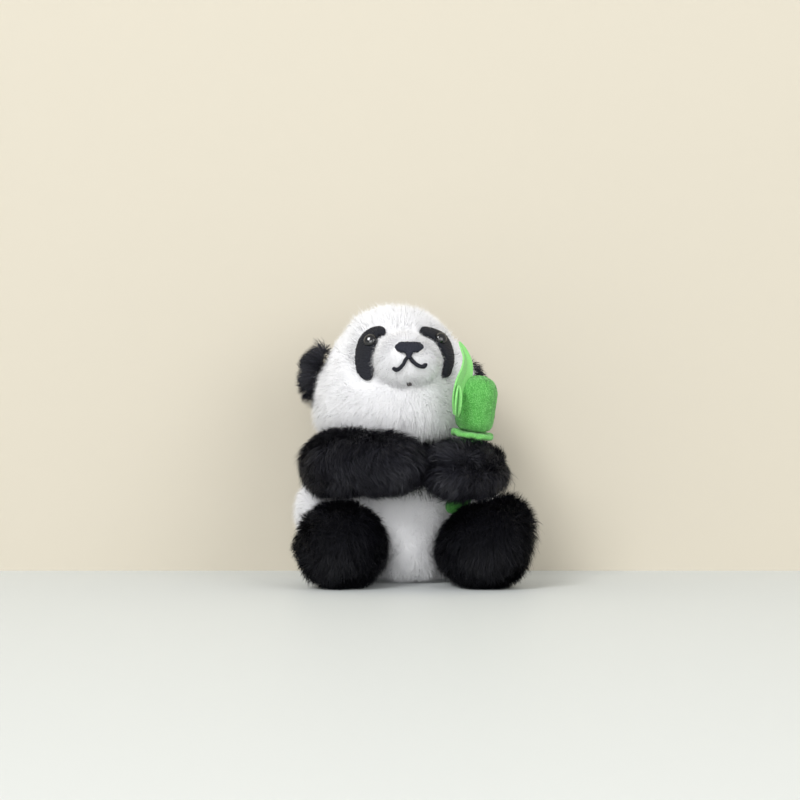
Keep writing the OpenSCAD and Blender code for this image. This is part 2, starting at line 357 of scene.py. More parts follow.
def scatter(obj, per_mm2, rng):
    """Random points on a mesh by area, with their normals."""
    mesh = obj.data
    mesh.calc_loop_triangles()
    tri = np.empty(len(mesh.loop_triangles) * 3, np.int32)
    mesh.loop_triangles.foreach_get("vertices", tri)
    tri = tri.reshape(-1, 3)
    co, no = points_of(mesh), normals_of(mesh)
    a, b, c = (co[tri[:, i]] for i in range(3))
    area = np.linalg.norm(np.cross(b - a, c - a), axis=1) / 2
    total = np.cumsum(area)
    count = int(total[-1] * per_mm2 * 1e6)
    pick = np.searchsorted(total, rng.uniform(0, total[-1], count))
    pick = np.minimum(pick, len(tri) - 1)
    u, v = rng.random(count), rng.random(count)
    flip = u + v > 1
    u[flip], v[flip] = 1 - u[flip], 1 - v[flip]
    w = 1 - u - v
    at = a[pick] * w[:, None] + b[pick] * u[:, None] + c[pick] * v[:, None]
    n = sum(no[tri[pick, i]] * x[:, None] for i, x in enumerate((w, u, v)))
    return at, unit(n)


def ribbons(name, levels, widths, sides, shade, materials, facing, soft):
    """One mesh of tapering ribbons. levels are the strands' points from root to tip; facing is
    the skin's normal, which the strands' shading leans towards by the share soft."""
    n, k = len(shade), len(levels) - 1
    per = 2 * k + 1
    co = np.empty((n, per, 3), np.float32)
    for i in range(k):
        half = sides * (widths * (0.8, 1.0, 0.8)[min(i + (k < 3), 2)] / 2)[:, None]
        co[:, 2 * i], co[:, 2 * i + 1] = levels[i] - half, levels[i] + half
    co[:, per - 1] = levels[k]
    co[:, :, 2] = np.maximum(co[:, :, 2], 0.1 * MM)
    loops = []
    for i in range(k - 1):
        loops += [2 * i, 2 * i + 1, 2 * i + 3, 2 * i + 2]
    loops += [2 * k - 2, 2 * k - 1, per - 1]
    starts = [4 * i for i in range(k)]
    index = np.arange(n)[:, None] * per + np.array(loops)
    start = np.arange(n)[:, None] * len(loops) + np.array(starts)
    mesh = bpy.data.meshes.new(name)
    mesh.vertices.add(n * per)
    mesh.vertices.foreach_set("co", co.ravel())
    mesh.loops.add(index.size)
    mesh.loops.foreach_set("vertex_index", index.astype(np.int32).ravel())
    mesh.polygons.add(start.size)
    mesh.polygons.foreach_set("loop_start", start.astype(np.int32).ravel())
    mesh.polygons.foreach_set("material_index", np.repeat(shade, k).astype(np.int32))
    mesh.polygons.foreach_set("use_smooth", np.ones(start.size, bool))
    mesh.update(calc_edges=True)
    along = unit(levels[-1] - levels[0])
    own = unit(np.cross(sides, along))
    own[(own * facing).sum(1) < 0] *= -1
    lean = unit(facing * soft + own * (1 - soft))
    mesh.normals_split_custom_set_from_vertices(np.repeat(lean, per, axis=0))
    return link(name, mesh, *materials)


CELL_PRIMES = np.array([73856093, 19349663, 83492791])  # give each cell of space its own number


def pile(name, obj, body, slot, materials, comb, length_mm, *, lift, per_mm2, width_mm, segments, seed,
         tuft_mm, gather, stray, droop, soft, keep=None, shape=None, part_size=60000):
    """Grows a pile on a skin. comb gives the way it lies, shape a length factor and keep what
    grows. lift is its angle from the skin in degrees, gather how far the tips of a tuft draw
    together, stray how unruly it is, droop how far it hangs, and soft goes to ribbons()."""
    rng = np.random.default_rng(seed)
    at, n = scatter(obj, per_mm2 * (1), rng)
    if keep is not None:
        held = keep(at, n)
        at, n = at[held], n[held]
    count = len(at)
    lie = comb(at, n) + drift(at, seed + 1, 22) * 0.35 + drift(at, seed + 2, 7) * 0.3
    lie += rng.normal(size=(count, 3)) * stray * 0.6
    lie = unit(lie - n * (lie * n).sum(1)[:, None])
    up = np.radians(lift + rng.normal(size=count) * 14 * stray / 0.35 + drift(at, seed + 3, 9)[:, 0] * 9)
    long = length_mm * MM * rng.uniform(0.75, 1.1, count)
    long *= np.where(rng.random(count) < 0.06, 1.22, 1.0)
    if shape is not None:
        long = long * shape(at, n)
    uneven = drift(at, seed + 4, tuft_mm * 2.2) * tuft_mm * MM * 0.35
    cell = np.floor((at + uneven) / (tuft_mm * MM)).astype(np.int64)
    _, tuft = np.unique(cell @ CELL_PRIMES, return_inverse=True)
    long *= (1 + rng.normal(size=tuft.max() + 1) * 0.09)[tuft]
    start = n * np.sin(up)[:, None] + lie * np.cos(up)[:, None]
    bend = lie * 0.45 - n * 0.35 + np.array([0, 0, -1.0]) * droop
    steps = [0.0, 0.55, 1.0] if segments == 2 else [0.0, 0.35, 0.7, 1.0]
    levels = [at - n * 0.3 * MM + long[:, None] * (start * t + bend * t * t * 0.6) for t in steps]
    size = np.bincount(tuft).astype(float)
    for t, level in zip(steps[1:], levels[1:]):
        mean = np.stack([np.bincount(tuft, level[:, i]) / size for i in range(3)], 1)[tuft]
        level += (mean - level) * (gather * t ** 1.5)
    along = unit(levels[-1] - levels[0])
    side = unit(np.cross(along, n))
    turn = rng.uniform(-0.7, 0.7, count)[:, None]
    side = side * np.cos(turn) + np.cross(along, side) * np.sin(turn)
    wide = width_mm * MM * rng.uniform(0.7, 1.25, count)
    shade = rng.integers(0, len(materials), count)
    about = at - at.mean(0)
    order = np.argsort(np.arctan2(about[:, 0], -about[:, 1]), kind="stable")
    parts = max(1, math.ceil(count / part_size))
    for i, rows in enumerate(np.array_split(order, parts)):
        made = ribbons(f"{name}_{i + 1}", [x[rows] for x in levels], wide[rows], side[rows], shade[rows],
                       materials, n[rows], soft)
        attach(made, body)


def along_path(points):
    """Comb along a path given by points, towards its last point."""
    pts = np.array([[*p] for p in points])

    def comb(at, n):
        best, way = np.full(len(at), 1e9), np.zeros((len(at), 3))
        for a, b in zip(pts[:-1], pts[1:]):
            d = b - a
            t = np.clip((at - a) @ d / (d @ d), 0, 1)[:, None]
            far = np.linalg.norm(at - a - d * t, axis=1)
            near = far < best
            best[near], way[near] = far[near], unit(d[None])[0]
        return way
    return comb


# ------------------------------------------------------------------ shapes of the skins
white_back = fabric("white_backing", (0.93, 0.93, 0.94), (0.86, 0.86, 0.88), 0.8, 0.3)
black_back = fabric("black_backing", (0.02, 0.02, 0.024), (0.012, 0.012, 0.016), 0.8, 0.3)
muzzle_back = fabric("muzzle_backing", (0.95, 0.94, 0.945), (0.9, 0.89, 0.895), 0.5, 0.2)
# The white pile's last figure is a faint glow: painted light that lightens the shade between its strands.
white_hair = strand_materials(
    "white_pile", [(0.965, 0.965, 0.98), (0.94, 0.94, 0.96), (0.98, 0.98, 0.985)], 0.8, 0.1, 0.1, 0.019)
black_hair = strand_materials(
    "black_pile", [(0.012, 0.0122, 0.0175), (0.022, 0.0222, 0.031), (0.008, 0.0082, 0.012)], 0.5, 0.3, 0.0)
# The legs' pile is the black pile made darker: painted shade on the legs, which are the same black plush as the
# arms.
painted_shade_leg_hair = strand_materials(
    "painted_shade_leg_pile", [(0.0036, 0.0038, 0.006), (0.006, 0.0062, 0.0095), (0.0022, 0.0024, 0.0038)], 0.55, 0.16, 0.0)
# The muzzle's pile glows more than the head's: painted light that lightens the shade on the muzzle.
muzzle_hair = strand_materials(
    "muzzle_pile", [(0.965, 0.965, 0.98), (0.94, 0.94, 0.955)], 0.8, 0.1, 0.1, 0.034)


def limb_skin(limb):
    return skin(f"{limb}_skin", [f"{limb}_stuffing"], limb, black_back, voxel_mm=3, depth_mm=-1.0,
                extra=(f"{limb}_cover",))


torso = skin("torso_skin", ["body_stuffing"], "torso", white_back,
             extra=("body_cover", "shoulder_band", "pellet_bag"))
head = skin("head_skin", ["head_cover"], "head", white_back, voxel_mm=3, depth_mm=3.3, swell_mm=1.0,
            relaxed=6, extra=("head_stuffing",))
left_arm, right_arm, left_leg, right_leg = map(limb_skin, ("left_arm", "right_arm", "left_leg", "right_leg"))
left_ear = skin("left_ear_skin", ["left_ear"], "head", black_back, voxel_mm=1.5, depth_mm=0.4,
                swell_mm=0.5)
right_ear = skin("right_ear_skin", ["right_ear"], "head", black_back, voxel_mm=1.5, depth_mm=0.6,
                 swell_mm=0.5)
tail = skin("tail_skin", ["tail"], "torso", white_back, voxel_mm=1.5, swell_mm=0.6)


def push(obj, amount):
    """Moves a skin along its normals by amount(points, normals), in millimetres."""
    co, n = points_of(obj.data), normals_of(obj.data)
    put_points(obj.data, co + n * amount(co / MM, n)[:, None] * MM)


def bell(x, middle, width):
    return np.exp(-((x - middle) / width) ** 2)


def sleeve_crease(co, n):
    """The sleeve of the right arm is creased along its length, so it bulges above and below."""
    z = co[:, 2]
    bulges = 1.6 * bell(z, fold_z + 7.5, 5) + 1.8 * bell(z, fold_z - 8.5, 6)
    return smooth_step(0.2, -0.6, n[:, 1]) * (bulges - 4.2 * bell(z, fold_z, 2.2))


def left_flank(co, n):
    """The white body bulges out past the left leg."""
    return 4.5 * smooth_step(flank_x + 16, flank_x + 4, co[:, 0]) * bell(co[:, 2], body_z + 16, 16)


def egg(co, n):
    """The crown is narrower than the cheeks on the left."""
    left = smooth_step(4, 24, head_mid.x / MM - co[:, 0])
    above = smooth_step(crown_z - 16, crown_z + 4, co[:, 2])
    under_top = smooth_step(head_hi.z / MM - 2, head_hi.z / MM - 20, co[:, 2])
    return -2.6 * left * above * under_top


def full_thigh(co, n):
    """The right thigh is full on its outer side."""
    return 3.2 * smooth_step(2, 12, co[:, 0] - thigh.x) * smooth_step(thigh.z + 3, thigh.z + 14, co[:, 2])


fold_z = centre("right_arm_cover").z / MM + 1.5
flank_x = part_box("body_cover")[0].x / MM
body_z = middle_mm("body_cover")[2]
head_lo, head_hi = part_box("head_cover")
head_mid = (head_lo + head_hi) / 2
crown_z = head_mid.z / MM + 3
thigh = centre("right_leg_cover") / MM
push(right_arm, sleeve_crease)
push(torso, left_flank)
push(head, egg)
push(right_leg, full_thigh)
# The left ear droops at its lower edge.
co = points_of(left_ear.data)
co[:, 2] -= 4.0 * MM * smooth_step(co[:, 2].max() - 6 * MM, co[:, 2].min(), co[:, 2])
put_points(left_ear.data, co)

face_turn = math.radians(9)
face_way = np.array([math.sin(face_turn), -math.cos(face_turn), 0.0])
muzzle_mid = centre("muzzle_cover")
band_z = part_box("shoulder_band")[0].z
# Above the band's seam the torso's backing is black.
torso.data.materials.append(black_back)
for face in torso.data.polygons:
    face.material_index = int(face.center.z > band_z)

# ------------------------------------------------------------------ camera, floor, light
camera = bpy.data.objects.new("camera", bpy.data.cameras.new("camera"))
scene.collection.objects.link(camera)
camera.location = (-0.0073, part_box("left_leg_cover")[0].y - 1.14, 0.092)
camera.rotation_euler = (math.radians(90), 0, 0)
camera.data.lens, camera.data.sensor_width = 107, 36
scene.camera = camera


def flat_plane(name, corners, material):
    mesh = bpy.data.meshes.new(name)
    mesh.from_pydata(corners, [], [(0, 1, 2, 3)])
    obj = link(name, mesh, material)
    return obj


def painted(name, colour, rough, one_sided=False):
    """Matt paint. One-sided paint is clear from behind, so that the wall hides nothing."""
    mat, nodes, links, shader = principled(name, colour, rough, 0.2)
    if one_sided:
        side = nodes.new("ShaderNodeNewGeometry")
        clear = nodes.new("ShaderNodeBsdfTransparent")
        mix = nodes.new("ShaderNodeMixShader")
        links.new(side.outputs["Backfacing"], mix.inputs[0])
        links.new(shader.outputs[0], mix.inputs[1])
        links.new(clear.outputs[0], mix.inputs[2])
        links.new(mix.outputs[0], nodes["Material Output"].inputs["Surface"])
    return mat


wall_y = 0.075
flat_plane("floor", [(-4, -4, 0), (4, -4, 0), (4, 4, 0), (-4, 4, 0)],
           painted("floor_paint", (0.68, 0.71, 0.705), 0.5))
flat_plane("wall", [(-3, wall_y, 0), (3, wall_y, 0), (3, wall_y, 2), (-3, wall_y, 2)],
           painted("wall_paint", (0.568, 0.525, 0.437), 0.9, True))


def lamp(name, place, aim, size, watts):
    data = bpy.data.lights.new(name, "AREA")
    data.energy, data.size = watts, size
    obj = bpy.data.objects.new(name, data)
    scene.collection.objects.link(obj)
    obj.location = place
    obj.rotation_euler = (Vector(aim) - Vector(place)).to_track_quat("-Z", "Y").to_euler()


lamp("key", (-1.3, -2.5, 2.0), (0, 0, 0.08), 1.1, 60)
lamp("fill", (1.7, -2.6, 0.9), (0, 0, 0.06), 1.8, 28)
lamp("front", (-0.3, -2.6, 0.6), (0, 0, 0.06), 1.1, 15)
world = bpy.data.worlds.new("room")
scene.world = world
world.use_nodes = True
world.node_tree.nodes["Background"].inputs["Color"].default_value = (1, 1, 1, 1)
world.node_tree.nodes["Background"].inputs["Strength"].default_value = 0.6
scene.view_settings.view_transform = "Standard"
scene.view_settings.look = "None"


# ------------------------------------------------------------------ muzzle
def muzzle_blob():
    """The muzzle's own rounded form: a middle and two cheeks."""
    bm = bmesh.new()
    across = np.array([math.cos(face_turn), math.sin(face_turn), 0.0])
    middle = np.array([*muzzle_mid]) - face_way * 3.8 * MM
    middle[2] = muzzle_mid.z
    cheek_mm = 4.9
    for side, radius_mm, up_mm in ((0, 11.8, 0.3), (-0.55, 9.8, -0.4), (1, 9.8, -0.4)):
        made = bmesh.ops.create_uvsphere(bm, u_segments=32, v_segments=24, radius=radius_mm * MM)
        place = Vector(middle + across * side * cheek_mm * MM) + mm(0, 0, up_mm)
        bmesh.ops.translate(bm, verts=made["verts"], vec=place)
    mesh = bpy.data.meshes.new("muzzle_skin")
    bm.to_mesh(mesh)
    bm.free()
    return link("muzzle_skin", mesh)


head_at = np.array([head_mid.x, head_mid.y, 0.0])
muzzle = muzzle_blob()
remesh(muzzle, 1.2)
plump(muzzle, 0.5)
relax(muzzle, 14)
muzzle.data.materials.clear()
muzzle.data.materials.append(muzzle_back)
muzzle.data.shade_smooth()
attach(muzzle, "head")
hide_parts("muzzle_cover", "muzzle_stuffing")


# ------------------------------------------------------------------ stitching and eyes
def smooth_path(points, count):
    """Even points on a curve through the given ones, with whatever else each row carries."""
    p = np.array(points, float)
    ext = np.vstack([2 * p[0] - p[1], p, 2 * p[-1] - p[-2]])
    fine = []
    for i in range(len(p) - 1):
        a, b, c, d = ext[i:i + 4]
        for t in np.linspace(0, 1, 24, endpoint=False):
            square, cube = 2 * a - 5 * b + 4 * c - d, 3 * b - a - 3 * c + d
            fine.append(0.5 * (2 * b + (c - a) * t + square * t ** 2 + cube * t ** 3))
    fine = np.array(fine + [p[-1]])
    run = np.concatenate([[0], np.cumsum(np.linalg.norm(np.diff(fine[:, :2], axis=0), axis=1))])
    even = np.linspace(0, run[-1], count)
    return np.stack([np.interp(even, run, fine[:, i]) for i in range(fine.shape[1])], 1), run[-1]


THREAD_MM, RIDGE_MM = 0.4, 0.05  # width of a stitch, and how far every other one stands out


def stitched(name, rows, ground, rise_mm, crown_mm, body, material, *nodes, across=14, blunt=1.0):
    """A raised stroke of satin stitch. rows are (x, z, half width) in millimetres as seen from
    the front; the stroke is laid on the ground skin and stands rise_mm above it. blunt is the
    length of its rounded ends, in half widths."""
    _, length = smooth_path(rows, 3)
    count = max(8, int(length / THREAD_MM * 2))
    path, _ = smooth_path(rows, count)
    s = np.linspace(0, length, count)
    way = unit(np.gradient(path[:, :2], axis=0))
    side = np.stack([way[:, 1], -way[:, 0]], 1)
    half = path[:, 2] * (1 + np.random.default_rng(5).uniform(-0.07, 0.07, count))
    for end, w0 in ((s, half[0]), (length - s, half[-1])):
        near = end < w0 * blunt
        turn = 1 - end[near] / (w0 * blunt)
        half[near] = np.minimum(half[near], w0 * np.sqrt(np.maximum(1 - turn ** 2, 0.01)))
    ring = [*np.linspace(-1, 1, across), *np.linspace(0.9, -0.9, 5)]
    bm = bmesh.new()
    uv = bm.loops.layers.uv.new("cloth")
    grid, coords = [], []
    for i in range(count):
        row, texts = [], []
        for j, u in enumerate(ring):
            x, z = path[i, :2] + side[i] * half[i] * u
            hit, normal, _, _ = ground.ray_cast(Vector((x, -200, z)) * MM, Vector((0, 1, 0)))
            if hit is None:
                hit, normal, _, _ = ground.find_nearest(Vector((x, -60, z)) * MM)
            out = (normal + Vector(face_way) * 0.6).normalized()
            if j < across:
                crown = crown_mm * math.sqrt(max(0.0, 1 - u * u)) + (RIDGE_MM if i % 2 else -RIDGE_MM)
                lift = rise_mm + crown
            else:
                lift = 0.1
            row.append(bm.verts.new(hit + out * lift * MM))
            texts.append((u * half[i], s[i]))
        grid.append(row)
        coords.append(texts)
    size = len(ring)
    for i in range(count - 1):
        for j in range(size):
            k = (j + 1) % size
            face = bm.faces.new((grid[i][j], grid[i + 1][j], grid[i + 1][k], grid[i][k]))
            for loop, c in zip(face.loops, (coords[i][j], coords[i + 1][j], coords[i + 1][k], coords[i][k])):
                loop[uv].uv = c
            face.smooth = True
    bm.faces.new(grid[0])
    bm.faces.new(reversed(grid[-1]))
    bmesh.ops.recalc_face_normals(bm, faces=bm.faces)
    mesh = bpy.data.meshes.new(name)
    bm.to_mesh(mesh)
    bm.free()
    obj = link(name, mesh, material)
    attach(obj, body)
    if nodes:
        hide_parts(*nodes)


patch_thread = satin("patch_thread", (0.006, 0.0065, 0.01), (0.03, 0.032, 0.042), 0.4)
nose_thread = satin("nose_thread", (0.014, 0.015, 0.024), (0.036, 0.038, 0.054), 0.35)
mouth_thread = satin("mouth_thread", (0.012, 0.013, 0.018), (0.03, 0.032, 0.042), 0.35)
seam_thread = satin("seam_thread", (0.05, 0.045, 0.045), (0.1, 0.09, 0.09), 0.3)

head_tree, muzzle_tree, torso_tree = tree(head), tree(muzzle), tree(torso)
left_patch = placed("left_eye_patch", [
    (7.6, 12, 1.6), (3.8, 12.1, 2.3), (0.4, 9.4, 3.5), (-1.4, 5.2, 4.2), (-2.2, -1.4, 4.5),
    (-1.8, -6.7, 4.2), (-1, -11.4, 3.4)])
right_patch = placed("right_eye_patch", [
    (-9.1, 12.7, 1.5), (-6.6, 12.4, 1.8), (-2.8, 11.3, 2.1), (1.1, 8.7, 2.6), (3.9, 3.9, 2.4),
    (5.1, -1.4, 2.1), (4.1, -6.7, 1.9), (2.7, -10, 1.5)])
nose_cap = placed("nose_embroidery", [
    (-6.2, 0.7, 1.5), (-4.8, 1.1, 2), (-2.6, 1.3, 2.2), (-0.2, 1.3, 2.2), (2.2, 1.3, 2.2),
    (4.4, 1.1, 2), (5.8, 0.7, 1.5)])
nose_stem = placed("nose_embroidery", [
    (-0.2, 1, 2.6), (-0.2, -0.4, 2.5), (-0.2, -1.3, 1.8), (-0.2, -2.1, 1.2), (-0.2, -2.9, 1.1),
    (-0.2, -3.8, 1)])
mouth_left = placed("mouth_embroidery", [
    (-0.4, 4.3, 0.75), (-1.6, 3, 0.8), (-3, 0.4, 0.8), (-5.4, -1.7, 0.85), (-7.6, -0.8, 0.7)])
mouth_right = placed("mouth_embroidery", [
    (0, 4.3, 0.75), (1.7, 1.9, 0.8), (4, 0.2, 0.85), (6.6, -0.3, 0.85), (7.9, 1.1, 0.7)])
# Thread ends of the closing seams, under the chin and low on the belly
chin_seam = placed("muzzle_cover", [
    (-0.2, -10, 0.25), (0.6, -10.1, 0.3), (2, -9.8, 0.16)])
belly_seam = placed("body_cover", [
    (6.2, -18, 0.4), (6.6, -19.6, 0.7), (6.9, -21, 0.45)])
stitched("left_eye_patch_stitching", left_patch, head_tree, 3.3, 0.6, "head", patch_thread, "left_eye_patch")
stitched("right_eye_patch_stitching", right_patch, head_tree, 3.3, 0.5, "head", patch_thread, "right_eye_patch")
stitched("nose_stitching_cap", nose_cap, muzzle_tree, 2.7, 1.0, "head", nose_thread, "nose_embroidery")
stitched("nose_stitching_stem", nose_stem, muzzle_tree, 2.6, 0.9, "head", nose_thread, "nose_embroidery", blunt=0.3)
for stroke_name, stroke in (("mouth_stitching_left", mouth_left), ("mouth_stitching_right", mouth_right)):
    stitched(stroke_name, stroke, muzzle_tree, 2.4, 0.5, "head", mouth_thread, "mouth_embroidery", across=8)
stitched("chin_seam_thread", chin_seam, muzzle_tree, 2.6, 0.3, "head", seam_thread, across=6)
stitched("belly_seam_thread", belly_seam, torso_tree, 3.0, 0.3, "torso", seam_thread, across=6)

eye_black = plastic("eye_gloss", (0.003, 0.003, 0.004), 0.02, 0.03, 0.8)
rim_black = plastic("eye_rim", (0.006, 0.006, 0.008), 0.45, 0.2, 0.2)


def eye_dome(name, node, right_mm, up_mm, r_mm):
    """A domed safety eye with its moulded rim, standing on the head near its node's middle."""
    x, _, z = middle_mm(node)
    start = mm(round(x + right_mm, 1), -200, round(z + up_mm, 1))
    hit, normal, _, _ = head_tree.ray_cast(start, Vector((0, 1, 0)))
    out = (normal + Vector(face_way) * 1.5).normalized()
    turn = out.to_track_quat("Z", "Y").to_matrix()
    dome = [(0, 3.4), (0.3, 3.38), (0.6, 3.15), (0.82, 2.7), (0.94, 2.1), (0.99, 1.5), (1.0, 1.0)]
    rim = [(1.07, 0.95), (1.1, 0.7), (1.07, 0.45), (1.0, 0.35), (0.5, 0.3), (0, 0.3)]
    bm = bmesh.new()
    count = 40
    rings = []
    for share, h in dome + rim:
        if share == 0:
            rings.append([bm.verts.new(Vector((0, 0, h)))])
        else:
            turns = np.linspace(0, 2 * math.pi, count, endpoint=False)
            r = r_mm * share
            rings.append([bm.verts.new(Vector((r * math.cos(a), r * math.sin(a), h))) for a in turns])
    for low, high in zip(rings[:-1], rings[1:]):
        for i in range(count):
            j = (i + 1) % count
            if len(low) == 1:
                face = bm.faces.new((low[0], high[i], high[j]))
            elif len(high) == 1:
                face = bm.faces.new((low[i], high[0], low[j]))
            else:
                face = bm.faces.new((low[i], high[i], high[j], low[j]))
            face.smooth = True
            face.material_index = 0 if rings.index(high) < len(dome) else 1
    bmesh.ops.recalc_face_normals(bm, faces=bm.faces)
    bm.transform(turn.to_4x4())
    for v in bm.verts:
        v.co = v.co * MM + hit + out * 3.3 * MM
    mesh = bpy.data.meshes.new(name)
    bm.to_mesh(mesh)
    bm.free()
    obj = link(name, mesh, eye_black, rim_black)
    subdivide(obj)
    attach(obj, "head")
    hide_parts(node)


eye_dome("left_eye_dome", "left_eye", 0.4, 0.6, 3.3)
eye_dome("right_eye_dome", "right_eye", 1.5, 1.6, 3.1)
washer_mat = plastic("washer_plastic", (0.8, 0.8, 0.78), 0.45, 0.2)
for n in ("left_eye_washer", "right_eye_washer"):
    frame["nodes"][n].data.materials.clear()
    frame["nodes"][n].data.materials.append(washer_mat)


# ------------------------------------------------------------------ grow the piles
def beside(at, strokes):
    """Distance in millimetres from the nearest edge of the strokes, in the front view."""
    out = np.full(len(at), 99.0)
    front = np.flatnonzero((at - head_at) @ face_way > 8 * MM)
    for rows in strokes:
        path, _ = smooth_path(rows, 30)
        seen = at[front][:, None, [0, 2]] / MM
        d = np.linalg.norm(seen - path[None, :, :2], axis=2) - path[None, :, 2]
        out[front] = np.minimum(out[front], d.min(1))
    return out


def from_muzzle(at):
    """How far outside the muzzle's outline a point lies in the front view: 1 is on it."""
    d = (at - np.array([*muzzle_mid])) / MM
    side = (at - head_at) @ face_way > 8 * MM
    return np.where(side, np.hypot((d[:, 0] - 0.7) / 13.4, (d[:, 2] + 0.5) / 11.6), 9)


def below_top(at):
    """How far below the top of the head a point lies, in millimetres."""
    return (head_hi.z - at[:, 2]) / MM


def from_face(at, n):
    """Head fur: over the edge of the muzzle, away from it elsewhere, and down below the cheeks."""
    way = unit(at - (np.array([*muzzle_mid]) + np.array([0, 10, 2]) * MM))
    way *= (1 - 1.5 * smooth_step(1.5, 1.05, from_muzzle(at)))[:, None]
    down = below_top(at)
    way[:, 2] -= smooth_step(33.5, 56.5, down) * 0.9
    way[:, 0] -= smooth_step(28.5, 48.5, down) * smooth_step(head_mid.x, head_lo.x, at[:, 0]) * 0.2
    return way


def head_keep(at, n):
    return (from_muzzle(at) > 0.75) & (beside(at, (left_patch, right_patch)) > -0.2)


def head_length(at, n):
    """Short round the face and beside the eye patches, long on the crown and at the neck."""
    front = smooth_step(0, 20 * MM, (at - head_at) @ face_way)
    short = 1 - 0.42 * front * smooth_step(2.2, 1.1, from_muzzle(at))
    down = below_top(at)
    tall = 1 + 0.5 * smooth_step(44.5, 58.5, down) + 0.3 * smooth_step(16.5, 4.5, down)
    return short * tall * (0.55 + 0.45 * smooth_step(0, 1.6, beside(at, (left_patch, right_patch))))


pile("head_fur", head, "head", "white_plush", white_hair, from_face, 7.6, lift=53, per_mm2=13.0, width_mm=0.15,
     segments=2, seed=11, tuft_mm=2.0, gather=0.1, stray=0.75, droop=0.05, soft=0.78, keep=head_keep,
     shape=head_length)


def sleeve(node, *places):
    """The line along an arm's sleeve, through places given in millimetres from its middle."""
    return [centre(node) + mm(*place) for place in places]


left_path = sleeve("left_arm_cover", (-12, 24, 0), (-13, -4, 1), (16, -14, 0))
right_path = sleeve("right_arm_cover", (8, 30, 0), (8, -2, 0), (-8, -14, 0))
paw_x = middle_mm("right_arm_cover")[0] - 11  # where the right arm's paw begins


def left_arm_comb(at, n):
    return along_path(left_path)(at, n) * 0.55 + np.array([0, -0.1, -0.75])


def right_arm_comb(at, n):
    """The creased sleeve: its upper bulge is brushed up, its lower one down."""
    along = 0.4 + 0.6 * smooth_step(paw_x * MM, (paw_x - 8) * MM, at[:, 0])
    way = along_path(right_path)(at, n) * along[:, None] + np.array([0, -0.1, 0])
    way[:, 2] += np.where(at[:, 2] > fold_z * MM, 0.75, -0.95)
    return way


def right_arm_length(at, n):
    """Short in the crease, long above and below the bulges and on the paw."""
    front = smooth_step(0.2, -0.6, n[:, 1])
    z = at[:, 2] / MM
    in_crease = 1 - 0.5 * front * bell(z, fold_z, 2.6)
    below = 0.6 * smooth_step(fold_z - 9, fold_z - 15, z)
    above = 0.25 * smooth_step(fold_z + 8, fold_z + 13, z)
    return in_crease + below + above + 0.35 * smooth_step(paw_x, paw_x - 8, at[:, 0] / MM)


def thigh_length(node, full):
    """Longer by the share full on the thigh's upper outer side."""
    middle = centre(node)

    def shape(at, n):
        outer = smooth_step(0, 12 * MM, at[:, 0] - middle.x)
        return 1 + full * outer * smooth_step(middle.z, middle.z + 14 * MM, at[:, 2])
    return shape


def leg_comb(node):
    middle = np.array([*centre(node)]) + np.array([0, -8, -2]) * MM

    def comb(at, n):
        return unit(at - middle) * 0.8 + np.array([0, -0.3, -0.5])
    return comb


black = dict(lift=48, per_mm2=6.0, width_mm=0.22, segments=3, tuft_mm=4.0, gather=0.4, stray=0.7, droop=0.12,
             soft=0.3, part_size=39000)
pile("left_arm_fur", left_arm, "left_arm", "black_plush", black_hair, left_arm_comb, 10.0, seed=21, **black)
pile("right_arm_fur", right_arm, "right_arm", "black_plush", black_hair, right_arm_comb, 9.0, seed=22,
     shape=right_arm_length, **black)
for leg, leg_skin, full, seed in (("left_leg", left_leg, 0.0, 23), ("right_leg", right_leg, 0.5, 24)):
    cover = leg + "_cover"
    pile(leg + "_fur", leg_skin, leg, "black_plush", painted_shade_leg_hair, leg_comb(cover), 9.8, seed=seed,
         shape=thigh_length(cover, full), **black)


def ear_comb(at, n):
    """Away from the middle of the head, a little below the ears."""
    return unit(at - np.array([head_mid.x, at[:, 1].mean(), head_hi.z - 40.5 * MM]))


ear = dict(black, lift=30, gather=0.5)
pile("left_ear_fur", left_ear, "head", "black_plush", black_hair, ear_comb, 8.0, seed=25, **ear)
pile("right_ear_fur", right_ear, "head", "black_plush", black_hair, ear_comb, 7.5, seed=26, **ear)


def body_comb(at, n):
    return np.array([0, 0, -1.0]) + n * 0.1


limb_trees = [tree(o) for o in (left_arm, right_arm, left_leg, right_leg, head)]
ROOM = 12 * MM  # a strand with this much space is full length


def room(at, n):
    """How long a strand may be, from the space between the torso and what lies against it."""
    out = np.ones(len(at))
    for i, (p, d) in enumerate(zip(at, n)):
        for t in limb_trees:
            hit, _, _, distance = t.ray_cast(Vector(p), Vector(d), ROOM)
            if hit is not None:
                out[i] = min(out[i], max(0.25, distance / ROOM))
    return out


def below_band(at, n):
    return (at[:, 2] < band_z) & (beside(at, [belly_seam]) > 0.2)


def on_band(at, n):
    return at[:, 2] >= band_z


pile("body_fur", torso, "torso", "white_plush", white_hair, body_comb, 7.4, lift=64, per_mm2=9.0, width_mm=0.17,
     segments=2, seed=31, tuft_mm=2.4, gather=0.12, stray=0.85, droop=0.1, soft=0.7, keep=below_band, shape=room)
pile("band_fur", torso, "torso", "black_plush", black_hair, body_comb, 8.0, seed=32, keep=on_band, shape=room,
     **black)
pile("tail_fur", tail, "torso", "white_plush", white_hair, body_comb, 7.0, lift=50, per_mm2=6.0, width_mm=0.22,
     segments=2, seed=33, tuft_mm=3.2, gather=0.25, stray=0.55, droop=0.15, soft=0.75)

muzzle_strokes = (nose_cap, nose_stem, mouth_left, mouth_right, chin_seam)


def muzzle_comb(at, n):
    way = unit(at - (np.array([*muzzle_mid]) + np.array([0, 0, 7]) * MM))
    way[:, 2] -= 0.2
    return way


def muzzle_keep(at, n):
    """In front of the head's skin, and not under the stitching."""
    return ((at - head_at) @ face_way > 24 * MM) & (beside(at, muzzle_strokes) > -0.15)


